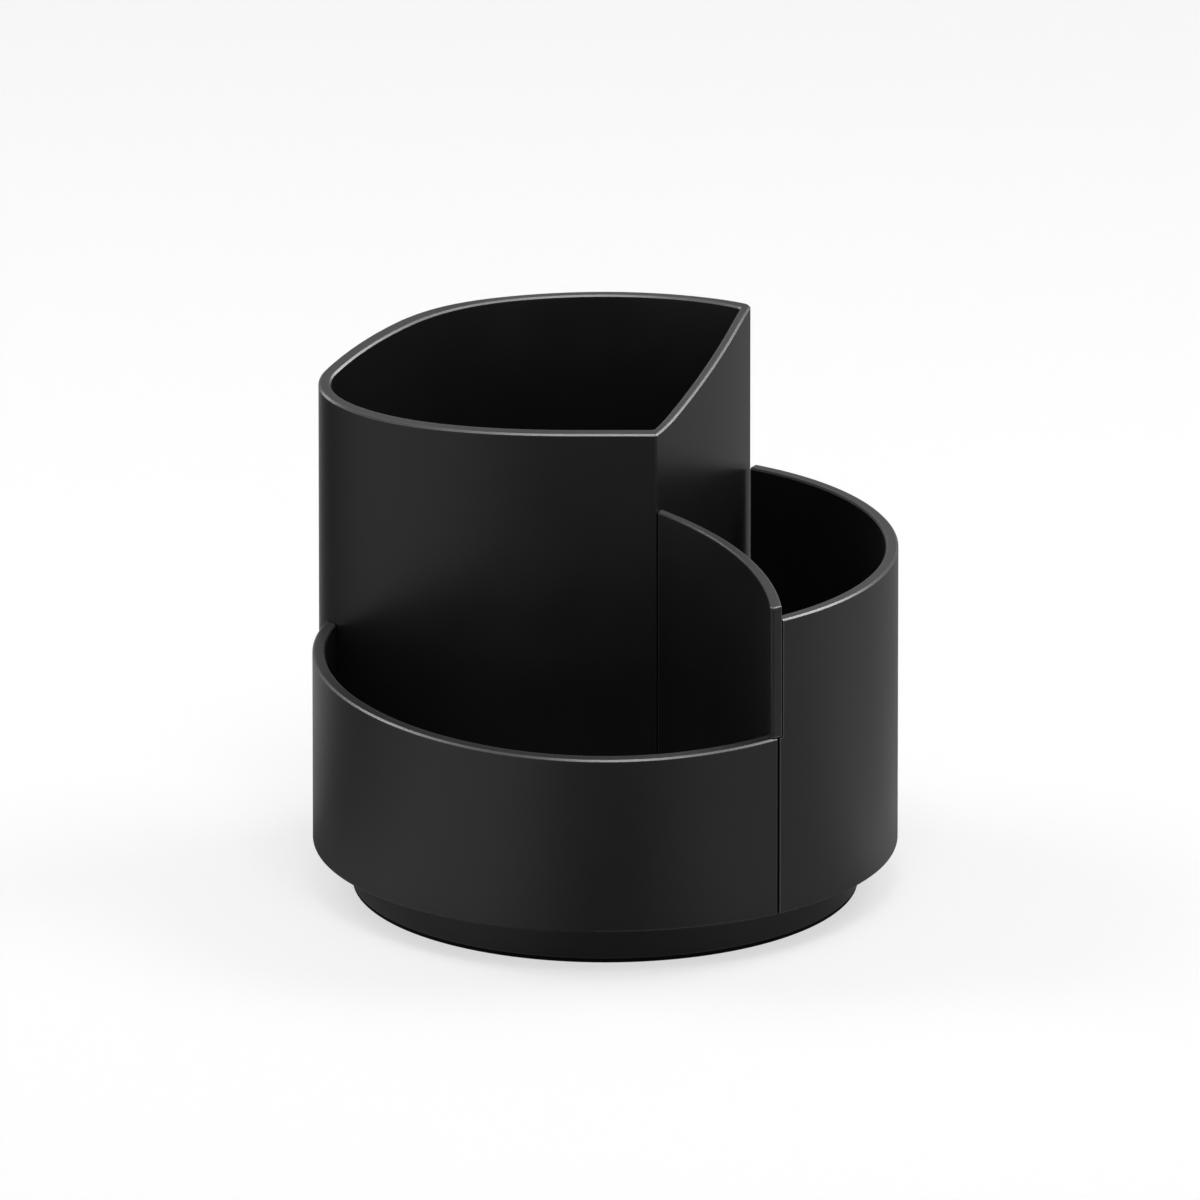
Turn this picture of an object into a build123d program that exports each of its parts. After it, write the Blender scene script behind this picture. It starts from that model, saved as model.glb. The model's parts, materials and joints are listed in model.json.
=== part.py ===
"""Rotating desk organizer: a tall bin, a pen bin and a front tray on a ball bearing turntable.

Millimetres, +Z up, origin on the desk at the turning axis, +X right and +Y away from the viewer.
"""

import os
from math import acos, asin, atan2, cos, degrees, hypot, radians, sin, sqrt

from build123d import *

os.makedirs("parts", exist_ok=True)

# The round body that the three compartments make together
body_radius = 75.0
wall = 3.2
rim_chamfer = 0.4
edge_round = 0.5
skirt_round = 0.5
floor_round = 0.6
clearance = 0.3
reach = 200.0

# Heights of the base, the body's skirt and the compartments' floors
ring_stand = 0.6
base_top = 10.8
turning_gap = 0.7
floor_under = 20.0
floor_thickness = 2.5

# Tall bin, seen from above: straight front wall, curved front left, rounded left corner
tall_front_y = 4.4
front_curve_x = -8.0
left_inset = 1.5
corner_y = 28.6
corner_radius = 12.0
partition_front_x = 13.2
partition_back_x = 37.8
partition_radius = 310.0
partition_wall = 2.3
back_corner_round = 2.5
front_corner_round = 1.0

# Tall bin, seen from the side: level front rim, straight rise, level back rim
tall_front_rim = 118.6
tall_back_rim = 134.0
rise_start_y = 7.6
rise_end_y = 62.0
rise_round = 50.0

# Pen bin and its curved divider
pen_rim = 90.7
divider_end_x = 41.9
divider_radius = 103.0
divider_inner_wall = 2.2
divider_outer_wall = 3.1
divider_inner_top = 97.8
divider_outer_top = 93.7
divider_stand_off = 0.5
pen_end_gap = 1.4
groove_width = 0.35
groove_depth = 0.5
groove_swing = 0.5
groove_flare = 0.1
strip_edge_round = 1.0

# Front tray
tray_left_rim = 62.4
tray_left_y = 24.0
tray_front_rim = 58.0
tray_end_x = 44.1
tray_seam = 0.45
tray_end_round = 0.6
seam_flare = 0.1
lap_sweep = 60.0

# Base
base_radius = 65.1
base_wall = 2.6
base_floor = 2.6
base_edge_round = 0.3
ring_inset = 0.3
ring_width = 6.0
ring_rebate = 0.5
rib_count = 6
rib_width = 1.6
rib_height = 2.5
rib_outer_radius = 36.0
ring_chamfer = 0.15

# Platform
platform_gap = 1.3
platform_lift = 0.8
platform_thickness = 3.0
hub_radius = 8.0
hub_height = 3.6

# Ball bearing
ball_radius = 2.0
ball_ring_radius = 45.0
ball_count = 16
ball_play = 0.12
race_half_width = 8.0
race_gap = 2.0
cage_thickness = 1.1
cage_half_width = 2.9

# Screws that hold the races
race_screw_ring_radius = 50.2
race_screw_count = 4
race_screw_radius = 0.9
race_screw_head_radius = 1.9
race_screw_head = 1.2
race_cross_length = 1.8
race_cross_width = 0.4

# Screws that hold the compartments, and the bosses they go into
boss_radius = 3.5
bin_screw_radius = 1.4
bin_screw_length = 6.6
bin_screw_head_radius = 2.8
bin_screw_head = 1.6
cross_length = 2.6
cross_width = 0.6
cross_depth = 0.9
screw_play = 0.1
hole_play = 0.3
outer_boss_ring_radius = 57.5
inner_boss_ring_radius = 30.5
tall_outer_turns = (93.0, 145.0)
tall_inner_turns = (71.0, 138.0)
pen_outer_turns = (14.0, -24.0)
pen_inner_turns = (11.0,)
tray_outer_turns = (213.0, -75.0)
tray_inner_turns = (202.0, -67.0)

# Pivot
shoulder_radius = 3.0
shaft_play = 0.05
bush_wall = 1.8
bush_flange_radius = 7.0
bush_flange = 0.8
pivot_head_radius = 4.6
pivot_head = 2.0
hex_across_flats = 4.0
hex_depth = 1.2
washer_radius = 6.4
washer_thickness = 0.9
thrust_radius = 5.8
thrust_thickness = 0.9
axial_play = 0.1
base_hub_radius = 10.0
base_web = 2.0
cover_radius = 8.6
cover_thickness = 0.8
cover_skirt = 0.9
cover_skirt_wall = 1.0
bush_proud = 0.6
insert_radius = 3.6
insert_rim_radius = 4.6
insert_rim = 0.8
thread_radius = 2.0

# Heights that follow
body_under = base_top + turning_gap
platform_under = body_under + platform_lift
platform_top = platform_under + platform_thickness
floor_top = floor_under + floor_thickness
inner_radius = body_radius - wall
platform_radius = inner_radius - platform_gap
base_inside = ring_stand + base_floor
inner_wall_under = platform_top + clearance
ring_outer_radius = base_radius - ring_inset
ring_inner_radius = ring_outer_radius - ring_width
ring_top = ring_stand + ring_rebate
race_screw_bite = base_floor - ring_rebate - clearance
ball_height = (base_inside + platform_under) / 2
lower_race_top = ball_height - race_gap / 2
upper_race_under = ball_height + race_gap / 2
divider_slope = (divider_inner_top - divider_outer_top) / (tall_front_y + body_radius)
insert_length = platform_thickness + hub_height - insert_rim
pilot_depth = bin_screw_length - platform_thickness + hole_play
tray_drop = tray_left_rim - tray_front_rim


def left_centre(start, end, radius):
    """Centre of the arc from start to end that lies to the left of the way from start to end."""
    run = (end[0] - start[0], end[1] - start[1])
    length = hypot(run[0], run[1])
    middle = ((start[0] + end[0]) / 2, (start[1] + end[1]) / 2)
    away = sqrt(radius**2 - (length / 2) ** 2)
    return (middle[0] - away * run[1] / length, middle[1] + away * run[0] / length)


def beyond(centre, point, distance):
    """Point further along the way from centre to point."""
    run = (point[0] - centre[0], point[1] - centre[1])
    share = 1 + distance / hypot(run[0], run[1])
    return (centre[0] + share * run[0], centre[1] + share * run[1])


def on_circle(radius, angle):
    """Point at an angle in degrees on a circle about the turning axis."""
    return (radius * cos(radians(angle)), radius * sin(radians(angle)))


def boss_ring_places(outer_turns, inner_turns):
    """Places on the outer and the inner ring of bosses."""
    outer = [on_circle(outer_boss_ring_radius, turn) for turn in outer_turns]
    inner = [on_circle(inner_boss_ring_radius, turn) for turn in inner_turns]
    return outer + inner


def tray_rim(y):
    """Height of the tray's rim, level at the tall bin and falling towards the front."""
    return tray_left_rim - tray_drop * ((tray_left_y - y) / (tray_left_y + body_radius)) ** 2


# Plan of the tall bin
# The back is one large arc, tangent to the left corner and to the body's circle on the Y axis
left_extent = body_radius - left_inset
left_turn = 180 - degrees(atan2(corner_y, left_extent))
back_turn = 90.0
corner_x = corner_radius - left_extent
reach_of_corner = body_radius - corner_radius
back_centre_y = (reach_of_corner**2 - corner_x**2 - corner_y**2) / (2 * (reach_of_corner - corner_y))
back_radius = body_radius - back_centre_y
corner_turn = degrees(atan2(corner_y - back_centre_y, corner_x))
partition_front = (partition_front_x, tall_front_y)
partition_back = (partition_back_x, sqrt(body_radius**2 - partition_back_x**2))
partition_centre = left_centre(partition_front, partition_back, partition_radius)


def tall_outline(inset, partition_inset):
    """Outline of the tall bin seen from above, moved inwards by the insets."""
    right_turn = degrees(asin((tall_front_y + inset) / (body_radius - inset)))
    with BuildSketch() as outline:
        with BuildLine():
            Line(on_circle(body_radius - inset, right_turn), (front_curve_x, tall_front_y + inset))
            EllipticalCenterArc(
                (front_curve_x, corner_y),
                left_extent + front_curve_x - inset,
                corner_y - tall_front_y - inset,
                start_angle=180,
                arc_size=90,
            )
            CenterArc((corner_x, corner_y), corner_radius - inset, corner_turn, 180 - corner_turn)
            CenterArc((0, back_centre_y), back_radius - inset, back_turn, corner_turn - back_turn)
            CenterArc((0, 0), body_radius - inset, right_turn, back_turn - right_turn)
        make_face()
        with Locations(partition_centre):
            Circle(partition_radius - partition_inset, mode=Mode.INTERSECT)
    return outline.sketch


def round_partition_ends(outline, back_round, front_round):
    """The outline with its two corners at the partition's ends rounded."""
    with BuildSketch() as rounded:
        add(outline)
        fillet(rounded.vertices().sort_by(Axis.X)[-1], back_round)
        partition_ends = rounded.vertices().filter_by(lambda vertex: vertex.X > 0)
        fillet(partition_ends.sort_by(Axis.Y)[0], front_round)
    return rounded.sketch


tall_plan = round_partition_ends(tall_outline(0, 0), back_corner_round, front_corner_round)
tall_room = round_partition_ends(tall_outline(wall, partition_wall), front_corner_round, front_corner_round)
beside_tall = tall_outline(-clearance, -clearance)

# Plan of the pen bin and the divider
divider_end = (divider_end_x, -sqrt(body_radius**2 - divider_end_x**2))
divider_start = (partition_front_x + divider_stand_off, tall_front_y)
divider_centre = left_centre(divider_end, divider_start, divider_radius)
divider_back_start = beyond(divider_centre, divider_start, divider_inner_wall)
divider_back_end = beyond(divider_centre, divider_end, divider_outer_wall)
pen_end_turn = degrees(atan2(partition_back[1], partition_back[0]) - pen_end_gap / body_radius)
divider_back_centre = left_centre(divider_back_end, divider_back_start, divider_radius + wall)

with BuildSketch() as pen_plan:
    Circle(body_radius)
    add(beside_tall, mode=Mode.SUBTRACT)
    with Locations(divider_centre):
        Circle(divider_radius, mode=Mode.SUBTRACT)
    with Locations((partition_front_x, 0)):
        Rectangle(reach, reach, align=(Align.MIN, Align.CENTER), mode=Mode.INTERSECT)
    with BuildLine():
        Polyline((0, 0), on_circle(reach, pen_end_turn), on_circle(reach, back_turn), close=True)
    make_face(mode=Mode.SUBTRACT)
    fillet(pen_plan.vertices().sort_by(Axis.Y)[0], strip_edge_round)

# Plan of the front tray
tray_end_turn = -degrees(acos(tray_end_x / body_radius))
seam_turn = tray_end_turn + degrees(tray_seam / body_radius)
lap_top = tray_rim(divider_end[1]) + clearance
strip_turn = degrees(atan2(divider_end[1], divider_end[0]))
groove_turn = strip_turn + degrees(divider_outer_wall / body_radius) + groove_swing
groove_end_turn = groove_turn + degrees(groove_width / body_radius)
groove_flare_turn = degrees(groove_flare / body_radius)
with BuildSketch() as tray_plan:
    Circle(body_radius)
    add(beside_tall, mode=Mode.SUBTRACT)
    with Locations(divider_centre):
        Circle(divider_radius - clearance, mode=Mode.INTERSECT)

tall_boss_places = boss_ring_places(tall_outer_turns, tall_inner_turns)
pen_boss_places = boss_ring_places(pen_outer_turns, pen_inner_turns)
tray_boss_places = boss_ring_places(tray_outer_turns, tray_inner_turns)

# Tall bin
with BuildPart() as tall_bin:
    with BuildSketch(Plane.XY.offset(body_under)):
        add(tall_plan)
    extrude(amount=tall_back_rim + wall - body_under)
    with BuildSketch(Plane.XY.offset(floor_top)):
        add(tall_room)
    extrude(amount=reach, mode=Mode.SUBTRACT)
    with BuildSketch(Plane.XY.offset(body_under)):
        add(tall_room)
    extrude(amount=floor_under - body_under, mode=Mode.SUBTRACT)
    with BuildSketch(Plane.XY.offset(body_under)):
        Circle(inner_radius)
    extrude(amount=inner_wall_under - body_under, mode=Mode.SUBTRACT)
    # The front wall stands over the platform's hub
    with BuildSketch(Plane.XY.offset(platform_top)):
        Circle(hub_radius + clearance)
    extrude(amount=hub_height + clearance, mode=Mode.SUBTRACT)
    # The rim, cut by its side profile
    with BuildSketch(Plane.YZ):
        with BuildLine():
            FilletPolyline(
                (-reach, tall_front_rim),
                (rise_start_y, tall_front_rim),
                (rise_end_y, tall_back_rim),
                (reach, tall_back_rim),
                radius=rise_round,
            )
            Polyline(
                (reach, tall_back_rim),
                (reach, reach),
                (-reach, reach),
                (-reach, tall_front_rim),
            )
        make_face()
    extrude(amount=reach, both=True, mode=Mode.SUBTRACT)
    tall_rim_edges = (
        tall_bin.edges()
        .filter_by(lambda edge: edge.bounding_box().min.Z > tall_front_rim - wall)
    )
    chamfer(tall_rim_edges, rim_chamfer)
    fillet(tall_bin.edges().filter_by_position(Axis.Z, floor_top, floor_top), floor_round)
    tall_skirt_edge = tall_bin.edges().filter_by_position(Axis.Z, body_under, body_under).sort_by(Axis.Y)[-1]
    fillet(tall_skirt_edge, skirt_round)
    with BuildSketch(Plane.XY.offset(platform_top)):
        with Locations(*tall_boss_places):
            Circle(boss_radius)
    extrude(amount=floor_under - platform_top)
    with BuildSketch(Plane.XY.offset(platform_top)):
        with Locations(*tall_boss_places):
            Circle(bin_screw_radius + screw_play)
    extrude(amount=pilot_depth, mode=Mode.SUBTRACT)
tall_bin.part.label = "tall_bin"
export_step(tall_bin.part, "parts/tall_bin.step")

# Pen bin with the divider
with BuildPart() as pen_bin:
    with BuildSketch(Plane.XY.offset(body_under)):
        add(pen_plan.sketch)
        Circle(inner_radius, mode=Mode.SUBTRACT)
    extrude(amount=pen_rim - body_under)
    with BuildSketch(Plane.XY.offset(inner_wall_under)):
        add(pen_plan.sketch)
        with Locations(divider_back_centre):
            Circle(divider_radius + wall, mode=Mode.INTERSECT)
    extrude(amount=divider_inner_top + wall - inner_wall_under)
    # The divider's top slopes down towards the front
    with BuildSketch(Plane.YZ):
        with BuildLine():
            Polyline(
                (tall_front_y + wall, divider_inner_top + wall * divider_slope),
                (-body_radius, divider_inner_top - (body_radius + tall_front_y) * divider_slope),
                (-body_radius, reach),
                (tall_front_y + wall, reach),
                close=True,
            )
        make_face()
    extrude(amount=reach, both=True, mode=Mode.SUBTRACT)
    # The tray's end laps the foot of the divider here
    with BuildSketch(Plane.XY.offset(body_under)):
        with BuildLine():
            Polyline(
                (0, 0),
                on_circle(body_radius - seam_flare, seam_turn),
                on_circle(body_radius, seam_turn + degrees(seam_flare / body_radius)),
                on_circle(reach, seam_turn + degrees(seam_flare / body_radius)),
                on_circle(reach, seam_turn - lap_sweep),
                close=True,
            )
        make_face()
        Circle(inner_radius - clearance, mode=Mode.SUBTRACT)
    extrude(amount=lap_top - body_under, mode=Mode.SUBTRACT)
    with BuildSketch(Plane.XY.offset(floor_under)):
        add(pen_plan.sketch)
        Circle(inner_radius - clearance, mode=Mode.INTERSECT)
    extrude(amount=floor_thickness)
    pen_skirt_edges = (
        pen_bin.edges()
        .filter_by_position(Axis.Z, body_under, body_under)
        .filter_by(GeomType.CIRCLE)
        .filter_by(lambda edge: edge.radius == body_radius)
    )
    fillet(pen_skirt_edges, skirt_round)
    pen_rim_edges = (
        pen_bin.edges()
        .filter_by_position(Axis.Z, pen_rim, pen_rim)
        .filter_by(GeomType.CIRCLE)
        .sort_by(SortBy.LENGTH)[-2:]
    )
    chamfer(pen_rim_edges, rim_chamfer)
    # All top edges of the divider but the one against the tall bin
    divider_top_edges = (
        pen_bin.edges()
        .filter_by(lambda edge: edge.bounding_box().min.Z > divider_outer_top - wall / 2)
        .sort_by(Axis.Y)[:-1]
    )
    fillet(divider_top_edges, edge_round)
    # Groove beside the divider's end
    with BuildSketch(Plane.XY.offset(lap_top)):
        with BuildLine():
            Polyline(
                on_circle(body_radius - groove_depth, groove_turn),
                on_circle(body_radius - groove_flare, groove_turn),
                on_circle(body_radius + groove_flare, groove_turn - 2 * groove_flare_turn),
                on_circle(body_radius + groove_flare, groove_end_turn + 2 * groove_flare_turn),
                on_circle(body_radius - groove_flare, groove_end_turn),
                on_circle(body_radius - groove_depth, groove_end_turn),
                close=True,
            )
        make_face()
    extrude(amount=pen_rim - lap_top, mode=Mode.SUBTRACT)
    # The groove's foot runs on into the seam
    with BuildSketch(Plane.XY.offset(lap_top)):
        with BuildLine():
            Polyline(
                on_circle(body_radius - groove_depth, seam_turn),
                on_circle(reach, seam_turn),
                on_circle(reach, groove_end_turn),
                on_circle(body_radius - groove_depth, groove_end_turn),
                close=True,
            )
        make_face()
    extrude(amount=-groove_width, mode=Mode.SUBTRACT)
    with BuildSketch(Plane.XY.offset(platform_top)):
        with Locations(*pen_boss_places):
            Circle(boss_radius)
    extrude(amount=floor_under - platform_top)
    with BuildSketch(Plane.XY.offset(platform_top)):
        with Locations(*pen_boss_places):
            Circle(bin_screw_radius + screw_play)
    extrude(amount=pilot_depth, mode=Mode.SUBTRACT)
pen_bin.part.label = "pen_bin"
export_step(pen_bin.part, "parts/pen_bin.step")

# Front tray
with BuildPart() as front_tray:
    with BuildSketch(Plane.XY.offset(body_under)) as tray_wall:
        Circle(body_radius)
        Circle(inner_radius, mode=Mode.SUBTRACT)
        with BuildLine():
            Polyline(
                (0, 0),
                on_circle(reach, tray_end_turn),
                on_circle(reach, 0),
                on_circle(reach, back_turn),
                on_circle(reach, left_turn),
                close=True,
            )
        make_face(mode=Mode.SUBTRACT)
        fillet(tray_wall.vertices().sort_by(Axis.X)[-1], tray_end_round)
    extrude(amount=tray_left_rim + wall - body_under)
    tray_skirt_edges = (
        front_tray.edges()
        .filter_by_position(Axis.Z, body_under, body_under)
        .filter_by(GeomType.CIRCLE)
        .filter_by(lambda edge: edge.radius == body_radius)
    )
    fillet(tray_skirt_edges, skirt_round)
    with BuildSketch(Plane.XY.offset(body_under)):
        add(beside_tall)
    extrude(amount=reach, mode=Mode.SUBTRACT)
    with BuildSketch(Plane.XY.offset(floor_under)):
        add(tray_plan.sketch)
    extrude(amount=floor_thickness)
    # The rim is one large arc in side view
    with BuildSketch(Plane.YZ):
        with BuildLine():
            ThreePointArc(
                (tray_left_y + wall, tray_rim(tray_left_y + wall)),
                (-body_radius / 2, tray_rim(-body_radius / 2)),
                (-body_radius - wall, tray_rim(-body_radius - wall)),
            )
            Polyline(
                (-body_radius - wall, tray_rim(-body_radius - wall)),
                (-body_radius - wall, reach),
                (tray_left_y + wall, reach),
                (tray_left_y + wall, tray_rim(tray_left_y + wall)),
            )
        make_face()
    extrude(amount=reach, both=True, mode=Mode.SUBTRACT)
    tray_rim_edges = (
        front_tray.edges()
        .filter_by(lambda edge: edge.bounding_box().min.Z > tray_front_rim - wall / 2)
        .sort_by(SortBy.LENGTH)[-2:]
    )
    chamfer(tray_rim_edges, rim_chamfer)
    with BuildSketch(Plane.XY.offset(platform_top)):
        with Locations(*tray_boss_places):
            Circle(boss_radius)
    extrude(amount=floor_under - platform_top)
    with BuildSketch(Plane.XY.offset(platform_top)):
        with Locations(*tray_boss_places):
            Circle(bin_screw_radius + screw_play)
    extrude(amount=pilot_depth, mode=Mode.SUBTRACT)
front_tray.part.label = "front_tray"
export_step(front_tray.part, "parts/front_tray.step")

# Platform under the compartments
boss_places = tall_boss_places + pen_boss_places + tray_boss_places
with BuildPart() as platform:
    with BuildSketch(Plane.XY.offset(platform_under)):
        Circle(platform_radius)
        with Locations(*boss_places):
            Circle(bin_screw_radius + hole_play, mode=Mode.SUBTRACT)
    extrude(amount=platform_thickness)
    with BuildSketch(Plane.XY.offset(platform_top)):
        Circle(hub_radius)
    extrude(amount=hub_height)
    with BuildSketch(Plane.XY.offset(platform_under)):
        Circle(insert_rim_radius)
    extrude(amount=insert_rim, mode=Mode.SUBTRACT)
    with BuildSketch(Plane.XY.offset(platform_under)):
        Circle(insert_radius)
    extrude(amount=insert_length, mode=Mode.SUBTRACT)
    with BuildSketch(Plane.XY.offset(platform_under)):
        with PolarLocations(race_screw_ring_radius, race_screw_count):
            Circle(race_screw_radius)
    extrude(amount=race_screw_bite + hole_play, mode=Mode.SUBTRACT)
platform.part.label = "platform"
export_step(platform.part, "parts/platform.step")

with BuildPart() as hub_insert:
    with BuildSketch(Plane.XY.offset(platform_under)):
        Circle(insert_rim_radius)
    extrude(amount=insert_rim)
    with BuildSketch(Plane.XY.offset(platform_under)):
        Circle(insert_radius)
    extrude(amount=insert_length)
    with BuildSketch(Plane.XY.offset(platform_under)):
        Circle(thread_radius)
    extrude(amount=insert_length, mode=Mode.SUBTRACT)
hub_insert.part.label = "hub_insert"
export_step(hub_insert.part, "parts/hub_insert.step")

# Screws that hold the compartments on the platform
with BuildPart() as bin_screws:
    with BuildSketch(Plane.XY.offset(platform_under - bin_screw_head)):
        with Locations(*boss_places):
            Circle(bin_screw_head_radius)
    extrude(amount=bin_screw_head)
    with BuildSketch(Plane.XY.offset(platform_under)):
        with Locations(*boss_places):
            Circle(bin_screw_radius)
    extrude(amount=bin_screw_length)
    with BuildSketch(Plane.XY.offset(platform_under - bin_screw_head)):
        with Locations(*boss_places):
            Rectangle(cross_length, cross_width)
            Rectangle(cross_width, cross_length)
    extrude(amount=cross_depth, mode=Mode.SUBTRACT)
bin_screws.part.label = "bin_screws"
export_step(bin_screws.part, "parts/bin_screws.step")

# Ball bearing: the two races share one half section
with BuildSketch(Plane.XZ) as lower_section:
    with Locations((ball_ring_radius, (base_inside + lower_race_top) / 2)):
        Rectangle(2 * race_half_width, lower_race_top - base_inside)
    with Locations((ball_ring_radius, ball_height)):
        Circle(ball_radius + ball_play, mode=Mode.SUBTRACT)

with BuildPart() as lower_race:
    revolve(lower_section.sketch, axis=Axis.Z)
    with Locations((0, 0, lower_race_top)):
        with PolarLocations(race_screw_ring_radius, race_screw_count):
            CounterBoreHole(
                race_screw_radius,
                race_screw_head_radius + screw_play,
                race_screw_head + screw_play,
            )
lower_race.part.label = "lower_race"
export_step(lower_race.part, "parts/lower_race.step")

with BuildPart() as upper_race:
    add(mirror(lower_race.part, about=Plane.XY.offset(ball_height), mode=Mode.PRIVATE))
upper_race.part.label = "upper_race"
export_step(upper_race.part, "parts/upper_race.step")

race_screw_top = lower_race_top - screw_play
race_screw_length = race_screw_top - base_inside + race_screw_bite
with BuildPart() as lower_race_screws:
    with BuildSketch(Plane.XY.offset(race_screw_top - race_screw_head)):
        with PolarLocations(race_screw_ring_radius, race_screw_count):
            Circle(race_screw_head_radius)
    extrude(amount=race_screw_head)
    with BuildSketch(Plane.XY.offset(race_screw_top - race_screw_length)):
        with PolarLocations(race_screw_ring_radius, race_screw_count):
            Circle(race_screw_radius)
    extrude(amount=race_screw_length)
    with BuildSketch(Plane.XY.offset(race_screw_top)):
        with PolarLocations(race_screw_ring_radius, race_screw_count):
            Rectangle(race_cross_length, race_cross_width)
            Rectangle(race_cross_width, race_cross_length)
    extrude(amount=-race_screw_head / 2, mode=Mode.SUBTRACT)
lower_race_screws.part.label = "lower_race_screws"
export_step(lower_race_screws.part, "parts/lower_race_screws.step")

with BuildPart() as upper_race_screws:
    add(mirror(lower_race_screws.part, about=Plane.XY.offset(ball_height), mode=Mode.PRIVATE))
upper_race_screws.part.label = "upper_race_screws"
export_step(upper_race_screws.part, "parts/upper_race_screws.step")

with BuildPart() as ball_cage:
    with BuildSketch(Plane.XY.offset(ball_height - cage_thickness / 2)):
        Circle(ball_ring_radius + cage_half_width)
        Circle(ball_ring_radius - cage_half_width, mode=Mode.SUBTRACT)
        with PolarLocations(ball_ring_radius, ball_count):
            Circle(ball_radius + ball_play, mode=Mode.SUBTRACT)
    extrude(amount=cage_thickness)
ball_cage.part.label = "ball_cage"
export_step(ball_cage.part, "parts/ball_cage.step")

with BuildPart() as bearing_balls:
    with Locations((0, 0, ball_height)):
        with PolarLocations(ball_ring_radius, ball_count):
            Sphere(ball_radius)
bearing_balls.part.label = "bearing_balls"
export_step(bearing_balls.part, "parts/bearing_balls.step")

# Pivot, from the cover in the underside up to the insert in the platform's hub
head_under = ring_stand + cover_thickness + clearance
head_top = head_under + pivot_head
washer_top = head_top + washer_thickness
thrust_top = washer_top + thrust_thickness
bush_under = thrust_top + axial_play
web_under = bush_under + bush_flange
hub_top = web_under + base_web
bush_radius = shoulder_radius + shaft_play + bush_wall
rib_inner_radius = (bush_radius + base_hub_radius) / 2

# Base
with BuildPart() as base_shell:
    with BuildSketch(Plane.XZ):
        with BuildLine():
            Polyline(
                (cover_radius, ring_stand),
                (ring_inner_radius, ring_stand),
                (ring_inner_radius, ring_top),
                (base_radius, ring_top),
                (base_radius, base_top),
                (base_radius - base_wall, base_top),
                (base_radius - base_wall, base_inside),
                (base_hub_radius, base_inside),
                (base_hub_radius, hub_top),
                (bush_radius, hub_top),
                (bush_radius, web_under),
                (cover_radius, web_under),
                close=True,
            )
        make_face()
    revolve(axis=Axis.Z)
    base_circles = base_shell.edges().filter_by(GeomType.CIRCLE)
    outer_edges = base_circles.filter_by(lambda edge: edge.radius == base_radius)
    fillet(outer_edges.sort_by(Axis.Z)[0], base_edge_round)
    fillet(outer_edges.sort_by(Axis.Z)[-1], edge_round)
    with BuildSketch(Plane.XY.offset(base_inside)):
        with PolarLocations((rib_inner_radius + rib_outer_radius) / 2, rib_count):
            Rectangle(rib_outer_radius - rib_inner_radius, rib_width)
    extrude(amount=rib_height)
    with Locations((0, 0, base_inside)):
        with PolarLocations(race_screw_ring_radius, race_screw_count):
            Hole(race_screw_radius, race_screw_bite)
base_shell.part.label = "base_shell"
export_step(base_shell.part, "parts/base_shell.step")

with BuildPart() as anti_slip_ring:
    with BuildSketch():
        Circle(ring_outer_radius)
        Circle(ring_inner_radius, mode=Mode.SUBTRACT)
    extrude(amount=ring_top)
    chamfer(anti_slip_ring.edges().group_by(Axis.Z)[0], ring_chamfer)
anti_slip_ring.part.label = "anti_slip_ring"
export_step(anti_slip_ring.part, "parts/anti_slip_ring.step")

with BuildPart() as base_bush:
    with BuildSketch(Plane.XY.offset(bush_under)):
        Circle(bush_flange_radius)
    extrude(amount=bush_flange)
    with BuildSketch(Plane.XY.offset(web_under)):
        Circle(bush_radius)
    extrude(amount=base_web + bush_proud)
    with BuildSketch(Plane.XY.offset(bush_under)):
        Circle(shoulder_radius + shaft_play)
    extrude(amount=reach, mode=Mode.SUBTRACT)
base_bush.part.label = "base_bush"
export_step(base_bush.part, "parts/base_bush.step")

with BuildPart() as pivot_screw:
    with BuildSketch(Plane.XY.offset(head_under)):
        Circle(pivot_head_radius)
    extrude(amount=pivot_head)
    with BuildSketch(Plane.XY.offset(head_top)):
        Circle(shoulder_radius)
    extrude(amount=platform_under - head_top)
    with BuildSketch(Plane.XY.offset(platform_under)):
        Circle(thread_radius)
    extrude(amount=insert_length - insert_rim)
    with BuildSketch(Plane.XY.offset(head_under)):
        RegularPolygon(hex_across_flats / 2, 6, major_radius=False)
    extrude(amount=hex_depth, mode=Mode.SUBTRACT)
pivot_screw.part.label = "pivot_screw"
export_step(pivot_screw.part, "parts/pivot_screw.step")

with BuildPart() as pivot_washer:
    with BuildSketch(Plane.XY.offset(head_top)):
        Circle(washer_radius)
        Circle(shoulder_radius + shaft_play, mode=Mode.SUBTRACT)
    extrude(amount=washer_thickness)
pivot_washer.part.label = "pivot_washer"
export_step(pivot_washer.part, "parts/pivot_washer.step")

with BuildPart() as thrust_washer:
    with BuildSketch(Plane.XY.offset(washer_top)):
        Circle(thrust_radius)
        Circle(shoulder_radius + shaft_play, mode=Mode.SUBTRACT)
    extrude(amount=thrust_thickness)
thrust_washer.part.label = "thrust_washer"
export_step(thrust_washer.part, "parts/thrust_washer.step")

with BuildPart() as pivot_cover:
    with BuildSketch(Plane.XY.offset(ring_stand)):
        Circle(cover_radius - shaft_play)
    extrude(amount=cover_thickness)
    with BuildSketch(Plane.XY.offset(ring_stand + cover_thickness)):
        Circle(cover_radius - shaft_play)
        Circle(cover_radius - cover_skirt_wall, mode=Mode.SUBTRACT)
    extrude(amount=cover_skirt)
pivot_cover.part.label = "pivot_cover"
export_step(pivot_cover.part, "parts/pivot_cover.step")
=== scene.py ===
"""Looks of the rotating desk organizer: black moulded plastic on a white desk in soft studio light.

Metres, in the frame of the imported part: +Z up, origin on the desk at the turning axis.
"""

import json
from math import cos, pi, radians, sin

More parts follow.
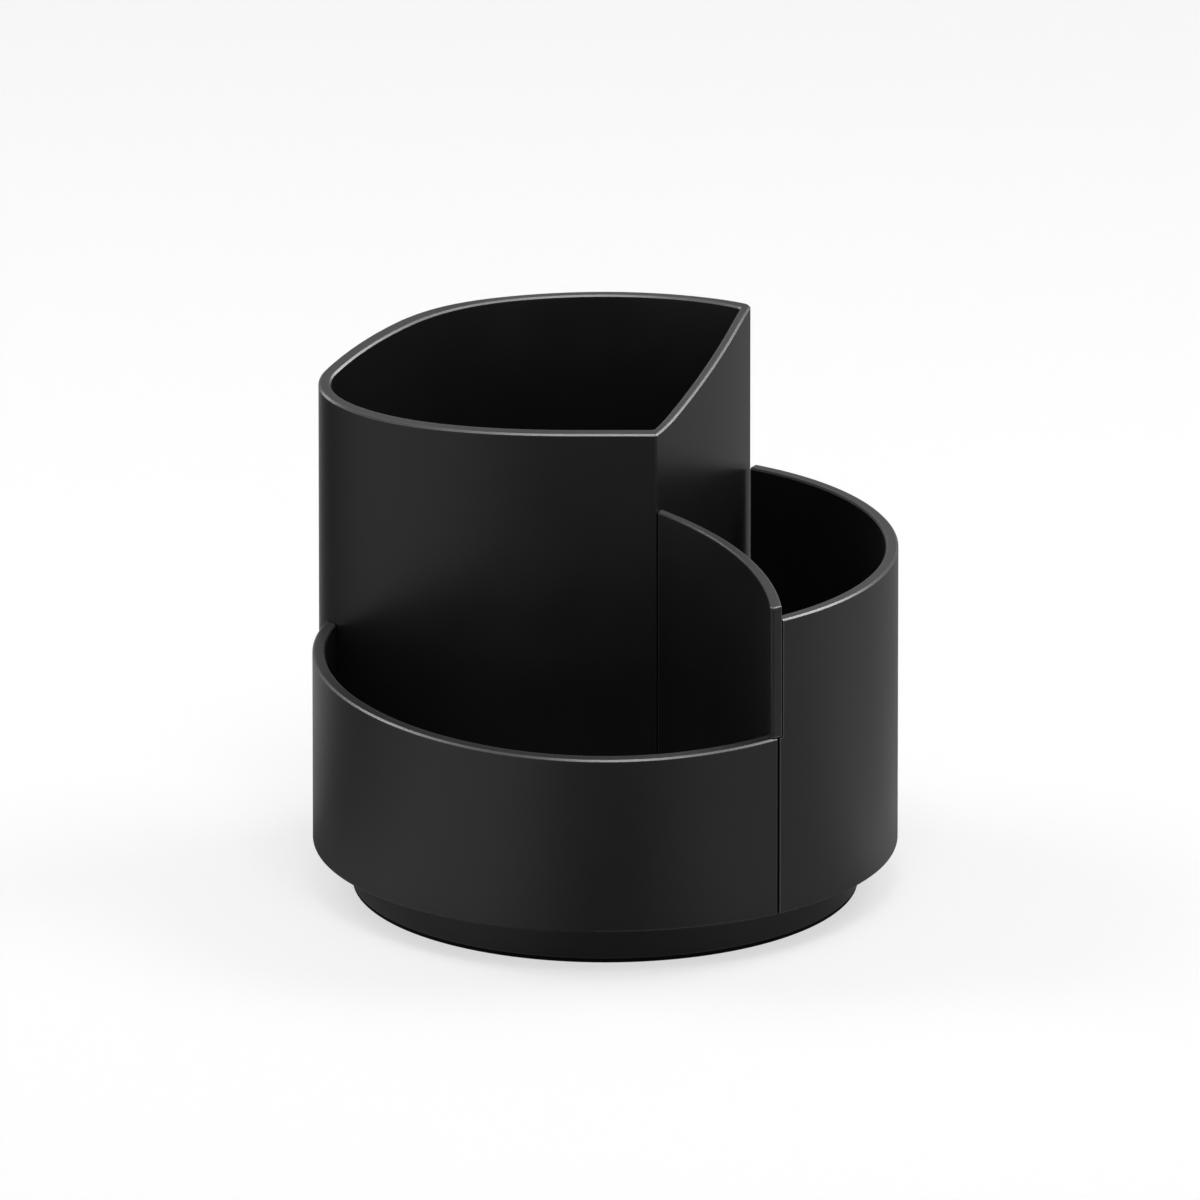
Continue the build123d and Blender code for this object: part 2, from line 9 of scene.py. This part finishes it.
import bpy
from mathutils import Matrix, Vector

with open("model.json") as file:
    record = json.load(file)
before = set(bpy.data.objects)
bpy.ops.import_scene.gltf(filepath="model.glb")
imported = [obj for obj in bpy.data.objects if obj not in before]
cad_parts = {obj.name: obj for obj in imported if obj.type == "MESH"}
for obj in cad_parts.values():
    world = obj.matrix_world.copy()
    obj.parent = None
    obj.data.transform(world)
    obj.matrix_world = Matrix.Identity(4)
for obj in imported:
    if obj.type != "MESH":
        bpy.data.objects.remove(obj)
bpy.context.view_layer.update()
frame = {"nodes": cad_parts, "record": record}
bpy.ops.object.select_all(action="DESELECT")
node_objects = frame["nodes"]

MM = 0.001

# View of the photograph
CAMERA_ELEVATION = 0.3281
CAMERA_DISTANCE = 9.27
CAMERA_TARGET = Vector((-1.34 * MM, 0.0, 75.6 * MM))
SENSOR = 36.0
LENS = 1086.75
CLIP_START = 0.1
CLIP_END = 200.0

# Moulded plastic: scales are cells in a metre, and the patches are slow shifts in gloss and tone
GRAIN_SCALE = 2600.0
RUBBER_GRAIN_SCALE = 1500.0
GRAIN_SMOOTHNESS = 0.6
GRAIN_DETAIL = 3.0
GRAIN_BUMP = 0.35
PATCH_SCALE = 28.0
PATCH_DETAIL = 3.0
PATCH_ROUGHNESS = 0.55
PATCH_LOW = 0.3
PATCH_HIGH = 0.7

# Painted highlight: outer edges lightened in the base colour, less where they face down and not in gaps
EDGE_WIDTH = 0.35 * MM
EDGE_GAIN = 30.0
HIGHLIGHT_LIFT = 0.06
EDGE_SAMPLES = 8
GAP_WIDTH = 1.0 * MM
GAP_POWER = 3.0
DOWN_NORMAL = -0.6
DOWN_SHARE = 0.15

# Scratches of the metals
SCRATCH_DETAIL = 4.0
SCRATCH_ROUGHNESS = 0.7
SCRATCH_BUMP = 0.2
SCRATCH_DEPTH = 0.02 * MM

# Desk and surroundings: how bright they are as light, and how they are seen
DESK_SIZE = 60.0
DESK_TOP = -0.05 * MM
DESK_COLOUR = 0.80
SHADOW_SHARE = 0.42
OWN_WHITE = 0.62
WORLD_LEVEL = 0.40

# Level card round the object, dimmer near it: brightness by azimuth in degrees, with nought at the camera
CARD_LEVELS = (
    (-180.0, 0.48),
    (-148.0, 0.46),
    (-132.0, 0.38),
    (-120.0, 0.26),
    (-108.0, 0.14),
    (-94.0, 0.17),
    (-78.0, 0.33),
    (-62.0, 0.53),
    (-34.0, 0.52),
    (-22.0, 0.36),
    (-8.0, 0.13),
    (8.0, 0.10),
    (24.0, 0.28),
    (38.0, 0.41),
    (74.0, 0.38),
    (90.0, 0.50),
    (108.0, 0.38),
    (140.0, 0.26),
    (180.0, 0.48),
)
CARD_SIDES = 96
CARD_HEIGHT = 0.4 * MM
CARD_INNER_RADIUS = 67.0 * MM
CARD_OUTER_RADIUS = 5.0
# Painted shade: the card is dimmer near the object, where the object shades the desk
CARD_NEAR_SHARE = 0.5
CARD_NEAR_RADIUS = 80.0 * MM
CARD_FULL_RADIUS = 110.0 * MM

# Upright card behind the object
BACK_CARD_LEVEL = 0.45
BACK_CARD_SIZE = 2.4
BACK_CARD_STRETCH = 2.0
BACK_CARD_PLACE = (0.0, 3.0, 1.25)

# Name, azimuth and elevation in degrees, distance, width, height, radiance, and whether it only adds shine
LAMPS = (
    ("right_softbox", 112.0, 48.0, 1.1, 0.5, 0.5, 4.5, False),
    ("front_softbox", 10.0, 64.0, 1.2, 0.4, 0.4, 6.0, False),
    ("left_softbox", -112.0, 45.0, 1.1, 0.5, 0.5, 4.0, False),
    ("right_shine", 112.0, 50.0, 1.3, 1.1, 0.9, 8.0, True),
    ("top_shine", 20.0, 75.0, 1.3, 0.8, 0.8, 6.5, True),
    ("left_shine", -112.0, 50.0, 1.3, 0.9, 0.8, 4.0, True),
)
LAMP_AIM = Vector((0.0, 0.0, 70.0 * MM))

# Colour inputs A and B of a mix node, and its colour output
MIX_FIRST = 6
MIX_SECOND = 7
MIX_RESULT = 2


# Node tree helpers
def new_material(name):
    """Empty node material with its output node, as (material, nodes, links, output)."""
    material = bpy.data.materials.new(name)
    material.use_nodes = True
    nodes = material.node_tree.nodes
    nodes.clear()
    output = nodes.new("ShaderNodeOutputMaterial")
    return material, nodes, material.node_tree.links, output


def new_group(name, inputs, outputs):
    """Node group of floats and vectors, as (group, nodes, links, group input, group output)."""
    group = bpy.data.node_groups.new(name, "ShaderNodeTree")
    for socket_name, kind, value in inputs:
        socket = group.interface.new_socket(name=socket_name, in_out="INPUT", socket_type=kind)
        if value is not None:
            socket.default_value = value
    for socket_name in outputs:
        group.interface.new_socket(name=socket_name, in_out="OUTPUT", socket_type="NodeSocketFloat")
    inward = group.nodes.new("NodeGroupInput")
    outward = group.nodes.new("NodeGroupOutput")
    return group, group.nodes, group.links, inward, outward


def grey(level):
    """Opaque grey."""
    return (level, level, level, 1.0)


def feed(links, socket, value):
    """Set an input to a number, or link it to an output."""
    if isinstance(value, (int, float)):
        socket.default_value = value
    else:
        links.new(value, socket)


def math_node(nodes, links, operation, first, second):
    """Math node whose inputs are numbers or outputs."""
    node = nodes.new("ShaderNodeMath")
    node.operation = operation
    feed(links, node.inputs[0], first)
    feed(links, node.inputs[1], second)
    return node.outputs[0]


def noise_node(nodes, links, vector, scale, detail, roughness=0.5):
    """Noise texture on a vector output."""
    node = nodes.new("ShaderNodeTexNoise")
    node.inputs["Detail"].default_value = detail
    node.inputs["Roughness"].default_value = roughness
    links.new(vector, node.inputs["Vector"])
    feed(links, node.inputs["Scale"], scale)
    return node.outputs["Fac"]


def range_node(nodes, links, value, low, high, start=0.0, end=1.0):
    """Low to high, while the value goes from start to end."""
    node = nodes.new("ShaderNodeMapRange")
    node.inputs["From Min"].default_value = start
    node.inputs["From Max"].default_value = end
    node.inputs["To Min"].default_value = low
    node.inputs["To Max"].default_value = high
    links.new(value, node.inputs["Value"])
    return node.outputs["Result"]


def bump_node(nodes, links, height, strength, distance):
    """Normals of a surface with small heights."""
    node = nodes.new("ShaderNodeBump")
    node.inputs["Strength"].default_value = strength
    node.inputs["Distance"].default_value = distance
    links.new(height, node.inputs["Height"])
    return node.outputs["Normal"]


def build_grain_group():
    """Moulded plastic surface: fine grain as height, and slow shifts in gloss and tone."""
    inputs = (
        ("Vector", "NodeSocketVector", None),
        ("Grain Scale", "NodeSocketFloat", GRAIN_SCALE),
        ("Patch Scale", "NodeSocketFloat", PATCH_SCALE),
    )
    group, nodes, links, inward, outward = new_group("moulded_grain", inputs, ("Height", "Patch"))
    place = inward.outputs["Vector"]
    grain_scale = inward.outputs["Grain Scale"]
    cells = nodes.new("ShaderNodeTexVoronoi")
    cells.feature = "SMOOTH_F1"
    cells.inputs["Smoothness"].default_value = GRAIN_SMOOTHNESS
    links.new(place, cells.inputs["Vector"])
    links.new(grain_scale, cells.inputs["Scale"])
    fine = noise_node(nodes, links, place, grain_scale, GRAIN_DETAIL)
    height = math_node(nodes, links, "ADD", cells.outputs["Distance"], fine)
    patch = noise_node(nodes, links, place, inward.outputs["Patch Scale"], PATCH_DETAIL, PATCH_ROUGHNESS)
    links.new(height, outward.inputs["Height"])
    links.new(patch, outward.inputs["Patch"])
    return group


def occlusion_node(nodes, links, distance, from_inside):
    """Share of the space about a point that is free of matter, or full of it when seen from inside."""
    node = nodes.new("ShaderNodeAmbientOcclusion")
    node.inside = from_inside
    node.only_local = from_inside
    node.samples = EDGE_SAMPLES
    links.new(distance, node.inputs["Distance"])
    return node.outputs["AO"]


def build_edge_highlight_group():
    """Mask of the painted highlight on outer edges: not in gaps, and less where they face down."""
    inputs = (
        ("Width", "NodeSocketFloat", EDGE_WIDTH),
        ("Gap", "NodeSocketFloat", GAP_WIDTH),
        ("Gain", "NodeSocketFloat", EDGE_GAIN),
    )
    group, nodes, links, inward, outward = new_group("painted_edge_highlight", inputs, ("Mask",))
    depth = occlusion_node(nodes, links, inward.outputs["Width"], True)
    nearness = math_node(nodes, links, "SUBTRACT", 1.0, depth)
    raised = math_node(nodes, links, "MULTIPLY", nearness, inward.outputs["Gain"])
    capped = math_node(nodes, links, "MINIMUM", raised, 1.0)
    openness = occlusion_node(nodes, links, inward.outputs["Gap"], False)
    open_share = math_node(nodes, links, "POWER", openness, GAP_POWER)
    open_edges = math_node(nodes, links, "MULTIPLY", capped, open_share)
    surface = nodes.new("ShaderNodeNewGeometry")
    parts = nodes.new("ShaderNodeSeparateXYZ")
    links.new(surface.outputs["Normal"], parts.inputs[0])
    upward = range_node(nodes, links, parts.outputs["Z"], DOWN_SHARE, 1.0, start=DOWN_NORMAL, end=0.0)
    mask = math_node(nodes, links, "MULTIPLY", open_edges, upward)
    links.new(mask, outward.inputs["Mask"])
    return group


GRAIN = build_grain_group()
PAINTED_EDGE_HIGHLIGHT = build_edge_highlight_group()


def plastic(
    name, dark, light, roughness, specular, grain_height, grain_scale=GRAIN_SCALE, highlight_lift=HIGHLIGHT_LIFT
):
    """Moulded plastic between two tones, with fine grain, slowly shifting gloss and a painted highlight on
    the edges.
    """
    material, nodes, links, output = new_material(name)
    shader = nodes.new("ShaderNodeBsdfPrincipled")
    place = nodes.new("ShaderNodeTexCoord")
    grain = nodes.new("ShaderNodeGroup")
    grain.node_tree = GRAIN
    grain.inputs["Grain Scale"].default_value = grain_scale
    links.new(place.outputs["Object"], grain.inputs["Vector"])
    patch = grain.outputs["Patch"]
    tone = nodes.new("ShaderNodeMix")
    tone.data_type = "RGBA"
    tone.inputs[MIX_FIRST].default_value = (*dark, 1.0)
    tone.inputs[MIX_SECOND].default_value = (*light, 1.0)
    links.new(patch, tone.inputs["Factor"])
    edge = nodes.new("ShaderNodeGroup")
    edge.node_tree = PAINTED_EDGE_HIGHLIGHT
    # Painted highlight: edges take the light tone raised by the lift
    highlight_colour = [min(1.0, channel + highlight_lift) for channel in light]
    highlighted_tone = nodes.new("ShaderNodeMix")
    highlighted_tone.data_type = "RGBA"
    highlighted_tone.inputs[MIX_SECOND].default_value = (*highlight_colour, 1.0)
    links.new(edge.outputs["Mask"], highlighted_tone.inputs["Factor"])
    links.new(tone.outputs[MIX_RESULT], highlighted_tone.inputs[MIX_FIRST])
    gloss = range_node(nodes, links, patch, *roughness, start=PATCH_LOW, end=PATCH_HIGH)
    relief = bump_node(nodes, links, grain.outputs["Height"], GRAIN_BUMP, grain_height)
    shader.inputs["Specular IOR Level"].default_value = specular
    links.new(highlighted_tone.outputs[MIX_RESULT], shader.inputs["Base Color"])
    links.new(gloss, shader.inputs["Roughness"])
    links.new(relief, shader.inputs["Normal"])
    links.new(shader.outputs["BSDF"], output.inputs["Surface"])
    return material


def metal(name, colour, roughness, scratch_scale):
    """Turned or plated metal with faint fine scratches."""
    material, nodes, links, output = new_material(name)
    shader = nodes.new("ShaderNodeBsdfPrincipled")
    shader.inputs["Base Color"].default_value = (*colour, 1.0)
    shader.inputs["Metallic"].default_value = 1.0
    place = nodes.new("ShaderNodeTexCoord").outputs["Object"]
    streaks = noise_node(nodes, links, place, scratch_scale, SCRATCH_DETAIL, SCRATCH_ROUGHNESS)
    links.new(range_node(nodes, links, streaks, *roughness), shader.inputs["Roughness"])
    links.new(bump_node(nodes, links, streaks, SCRATCH_BUMP, SCRATCH_DEPTH), shader.inputs["Normal"])
    links.new(shader.outputs["BSDF"], output.inputs["Surface"])
    return material


MATERIALS = {
    "bin_plastic": plastic(
        "satin_black_plastic",
        dark=(0.0065, 0.0065, 0.0070),
        light=(0.0085, 0.0085, 0.0090),
        roughness=(0.28, 0.33),
        specular=0.50,
        grain_height=0.008 * MM,
    ),
    "base_plastic": plastic(
        "matte_black_plastic",
        dark=(0.0060, 0.0060, 0.0065),
        light=(0.0080, 0.0080, 0.0085),
        roughness=(0.36, 0.42),
        specular=0.45,
        grain_height=0.015 * MM,
    ),
    "inner_plastic": plastic(
        "dark_grey_plastic",
        dark=(0.040, 0.041, 0.043),
        light=(0.050, 0.051, 0.053),
        roughness=(0.40, 0.50),
        specular=0.4,
        grain_height=0.02 * MM,
    ),
    "cage_plastic": plastic(
        "natural_white_plastic",
        dark=(0.62, 0.61, 0.57),
        light=(0.70, 0.69, 0.65),
        roughness=(0.30, 0.38),
        specular=0.5,
        grain_height=0.01 * MM,
    ),
    "ring_rubber": plastic(
        "black_rubber",
        dark=(0.003, 0.003, 0.003),
        light=(0.005, 0.005, 0.005),
        roughness=(0.70, 0.85),
        specular=0.08,
        grain_height=0.06 * MM,
        grain_scale=RUBBER_GRAIN_SCALE,
        highlight_lift=0.0,
    ),
    "bearing_steel": metal(
        "polished_steel", colour=(0.62, 0.63, 0.65), roughness=(0.08, 0.16), scratch_scale=700.0
    ),
    "screw_steel": metal(
        "zinc_plated_steel", colour=(0.55, 0.56, 0.58), roughness=(0.26, 0.42), scratch_scale=900.0
    ),
    "insert_brass": metal(
        "turned_brass", colour=(0.72, 0.50, 0.20), roughness=(0.20, 0.34), scratch_scale=900.0
    ),
}

for subpart in frame["record"]["subparts"]:
    piece = node_objects[subpart["node"]]
    piece.data.materials.clear()
    piece.data.materials.append(MATERIALS[subpart["material_slot"]])


# Desk and background
def background_ray(nodes, links):
    """One for rays of the camera, reflections and transmission, and nought for light."""
    path = nodes.new("ShaderNodeLightPath").outputs
    seen = math_node(nodes, links, "MAXIMUM", path["Is Camera Ray"], path["Is Glossy Ray"])
    return math_node(nodes, links, "MAXIMUM", seen, path["Is Transmission Ray"])


def white_desk_material(name):
    """White desk that shows a light soft shadow, and lets the underside be seen from below."""
    material, nodes, links, output = new_material(name)
    lit = nodes.new("ShaderNodeBsdfDiffuse")
    lit.inputs["Color"].default_value = grey(DESK_COLOUR)
    shaded = nodes.new("ShaderNodeBsdfDiffuse")
    shaded.inputs["Color"].default_value = grey(SHADOW_SHARE)
    own_white = nodes.new("ShaderNodeEmission")
    own_white.inputs["Strength"].default_value = OWN_WHITE
    both = nodes.new("ShaderNodeAddShader")
    links.new(shaded.outputs["BSDF"], both.inputs[0])
    links.new(own_white.outputs["Emission"], both.inputs[1])
    choice = nodes.new("ShaderNodeMixShader")
    links.new(background_ray(nodes, links), choice.inputs[0])
    links.new(lit.outputs["BSDF"], choice.inputs[1])
    links.new(both.outputs["Shader"], choice.inputs[2])
    side = nodes.new("ShaderNodeNewGeometry")
    see_through = nodes.new("ShaderNodeBsdfTransparent")
    from_below = nodes.new("ShaderNodeMixShader")
    links.new(side.outputs["Backfacing"], from_below.inputs[0])
    links.new(choice.outputs["Shader"], from_below.inputs[1])
    links.new(see_through.outputs["BSDF"], from_below.inputs[2])
    links.new(from_below.outputs["Shader"], output.inputs["Surface"])
    return material


bpy.ops.mesh.primitive_plane_add(size=DESK_SIZE, location=(0.0, 0.0, DESK_TOP))
desk = bpy.context.object
desk.name = "desk"
desk.data.materials.append(white_desk_material("white_desk"))


# Cards that only reflections show
def reflection_card_material():
    """Grey card whose brightness changes round the object."""
    material, nodes, links, output = new_material("grey_reflection_card")
    place = nodes.new("ShaderNodeTexCoord").outputs["Object"]
    turned = nodes.new("ShaderNodeMapping")
    turned.inputs["Rotation"].default_value = (0.0, 0.0, radians(90.0))
    links.new(place, turned.inputs["Vector"])
    round_way = nodes.new("ShaderNodeTexGradient")
    round_way.gradient_type = "RADIAL"
    links.new(turned.outputs["Vector"], round_way.inputs["Vector"])
    tones = nodes.new("ShaderNodeValToRGB")
    stops = tones.color_ramp.elements
    while len(stops) > 1:
        stops.remove(stops[-1])
    for index, (azimuth, level) in enumerate(CARD_LEVELS):
        turn_share = 0.5 + azimuth / 360.0
        stop = stops[0] if index == 0 else stops.new(turn_share)
        stop.position = turn_share
        stop.color = grey(level)
    links.new(round_way.outputs["Fac"], tones.inputs["Fac"])
    radius = nodes.new("ShaderNodeVectorMath")
    radius.operation = "LENGTH"
    links.new(place, radius.inputs[0])
    near = range_node(
        nodes, links, radius.outputs["Value"], CARD_NEAR_SHARE, 1.0, CARD_NEAR_RADIUS, CARD_FULL_RADIUS
    )
    shine = nodes.new("ShaderNodeEmission")
    links.new(tones.outputs["Color"], shine.inputs["Color"])
    links.new(near, shine.inputs["Strength"])
    links.new(shine.outputs["Emission"], output.inputs["Surface"])
    return material


def back_card_material():
    """Grey card that the level faces reflect."""
    material, nodes, links, output = new_material("grey_back_card")
    shine = nodes.new("ShaderNodeEmission")
    shine.inputs["Strength"].default_value = BACK_CARD_LEVEL
    links.new(shine.outputs["Emission"], output.inputs["Surface"])
    return material


def finish_card(card, name, material):
    """Name a new card, settle its shape, and hide it from all but reflections."""
    card.name = name
    bpy.ops.object.mode_set(mode="OBJECT")
    bpy.ops.object.transform_apply(location=True, rotation=True, scale=True)
    card.data.materials.append(material)
    card.visible_camera = False
    card.visible_diffuse = False
    card.visible_shadow = False
    card.visible_transmission = False


bpy.ops.object.select_all(action="DESELECT")
bpy.ops.mesh.primitive_circle_add(
    vertices=CARD_SIDES, radius=CARD_OUTER_RADIUS, fill_type="NGON", location=(0.0, 0.0, CARD_HEIGHT)
)
reflection_card = bpy.context.object
bpy.ops.object.mode_set(mode="EDIT")
bpy.ops.mesh.inset(thickness=CARD_OUTER_RADIUS - CARD_INNER_RADIUS)
bpy.ops.mesh.delete(type="FACE")
finish_card(reflection_card, "reflection_card", reflection_card_material())

bpy.ops.object.select_all(action="DESELECT")
bpy.ops.mesh.primitive_plane_add(
    size=BACK_CARD_SIZE, location=BACK_CARD_PLACE, rotation=(radians(90.0), 0.0, 0.0)
)
back_card = bpy.context.object
bpy.ops.object.mode_set(mode="EDIT")
bpy.ops.transform.resize(value=(BACK_CARD_STRETCH, 1.0, 1.0))
finish_card(back_card, "back_card", back_card_material())


# Light
def build_world():
    """White surroundings: full white where they are seen, softer as light."""
    world = bpy.data.worlds.new("studio")
    bpy.context.scene.world = world
    world.use_nodes = True
    nodes = world.node_tree.nodes
    links = world.node_tree.links
    nodes.clear()
    output = nodes.new("ShaderNodeOutputWorld")
    background = nodes.new("ShaderNodeBackground")
    background.inputs["Color"].default_value = grey(1.0)
    level = range_node(nodes, links, background_ray(nodes, links), WORLD_LEVEL, 1.0)
    links.new(level, background.inputs["Strength"])
    links.new(background.outputs["Background"], output.inputs["Surface"])


def look_along(way):
    """Rotation of a lamp or camera that looks along a direction, upright."""
    return way.to_track_quat("-Z", "Y").to_euler()


def softbox(name, azimuth, elevation, distance, width, tall, radiance, shine_only):
    """Area lamp round the object; azimuth 0 is at the camera and 90 at the right, angles in degrees."""
    turn = radians(azimuth)
    rise = radians(elevation)
    way = Vector((cos(rise) * sin(turn), -cos(rise) * cos(turn), sin(rise)))
    lamp_data = bpy.data.lights.new(name, "AREA")
    lamp_data.shape = "RECTANGLE"
    lamp_data.size = width
    lamp_data.size_y = tall
    lamp_data.energy = radiance * pi * width * tall
    lamp = bpy.data.objects.new(name, lamp_data)
    bpy.context.collection.objects.link(lamp)
    lamp.location = LAMP_AIM + distance * way
    lamp.rotation_euler = look_along(-way)
    lamp.visible_diffuse = not shine_only


build_world()
for lamp_row in LAMPS:
    softbox(*lamp_row)

# Camera
camera_data = bpy.data.cameras.new("photo_camera")
camera_data.sensor_width = SENSOR
camera_data.sensor_fit = "HORIZONTAL"
camera_data.lens = LENS
camera_data.clip_start = CLIP_START
camera_data.clip_end = CLIP_END
camera = bpy.data.objects.new("photo_camera", camera_data)
bpy.context.collection.objects.link(camera)
back_off = Vector((0.0, -cos(CAMERA_ELEVATION), sin(CAMERA_ELEVATION)))
camera.location = CAMERA_TARGET + CAMERA_DISTANCE * back_off
camera.rotation_euler = look_along(-back_off)
bpy.context.scene.camera = camera

bpy.context.scene.view_settings.view_transform = "Standard"
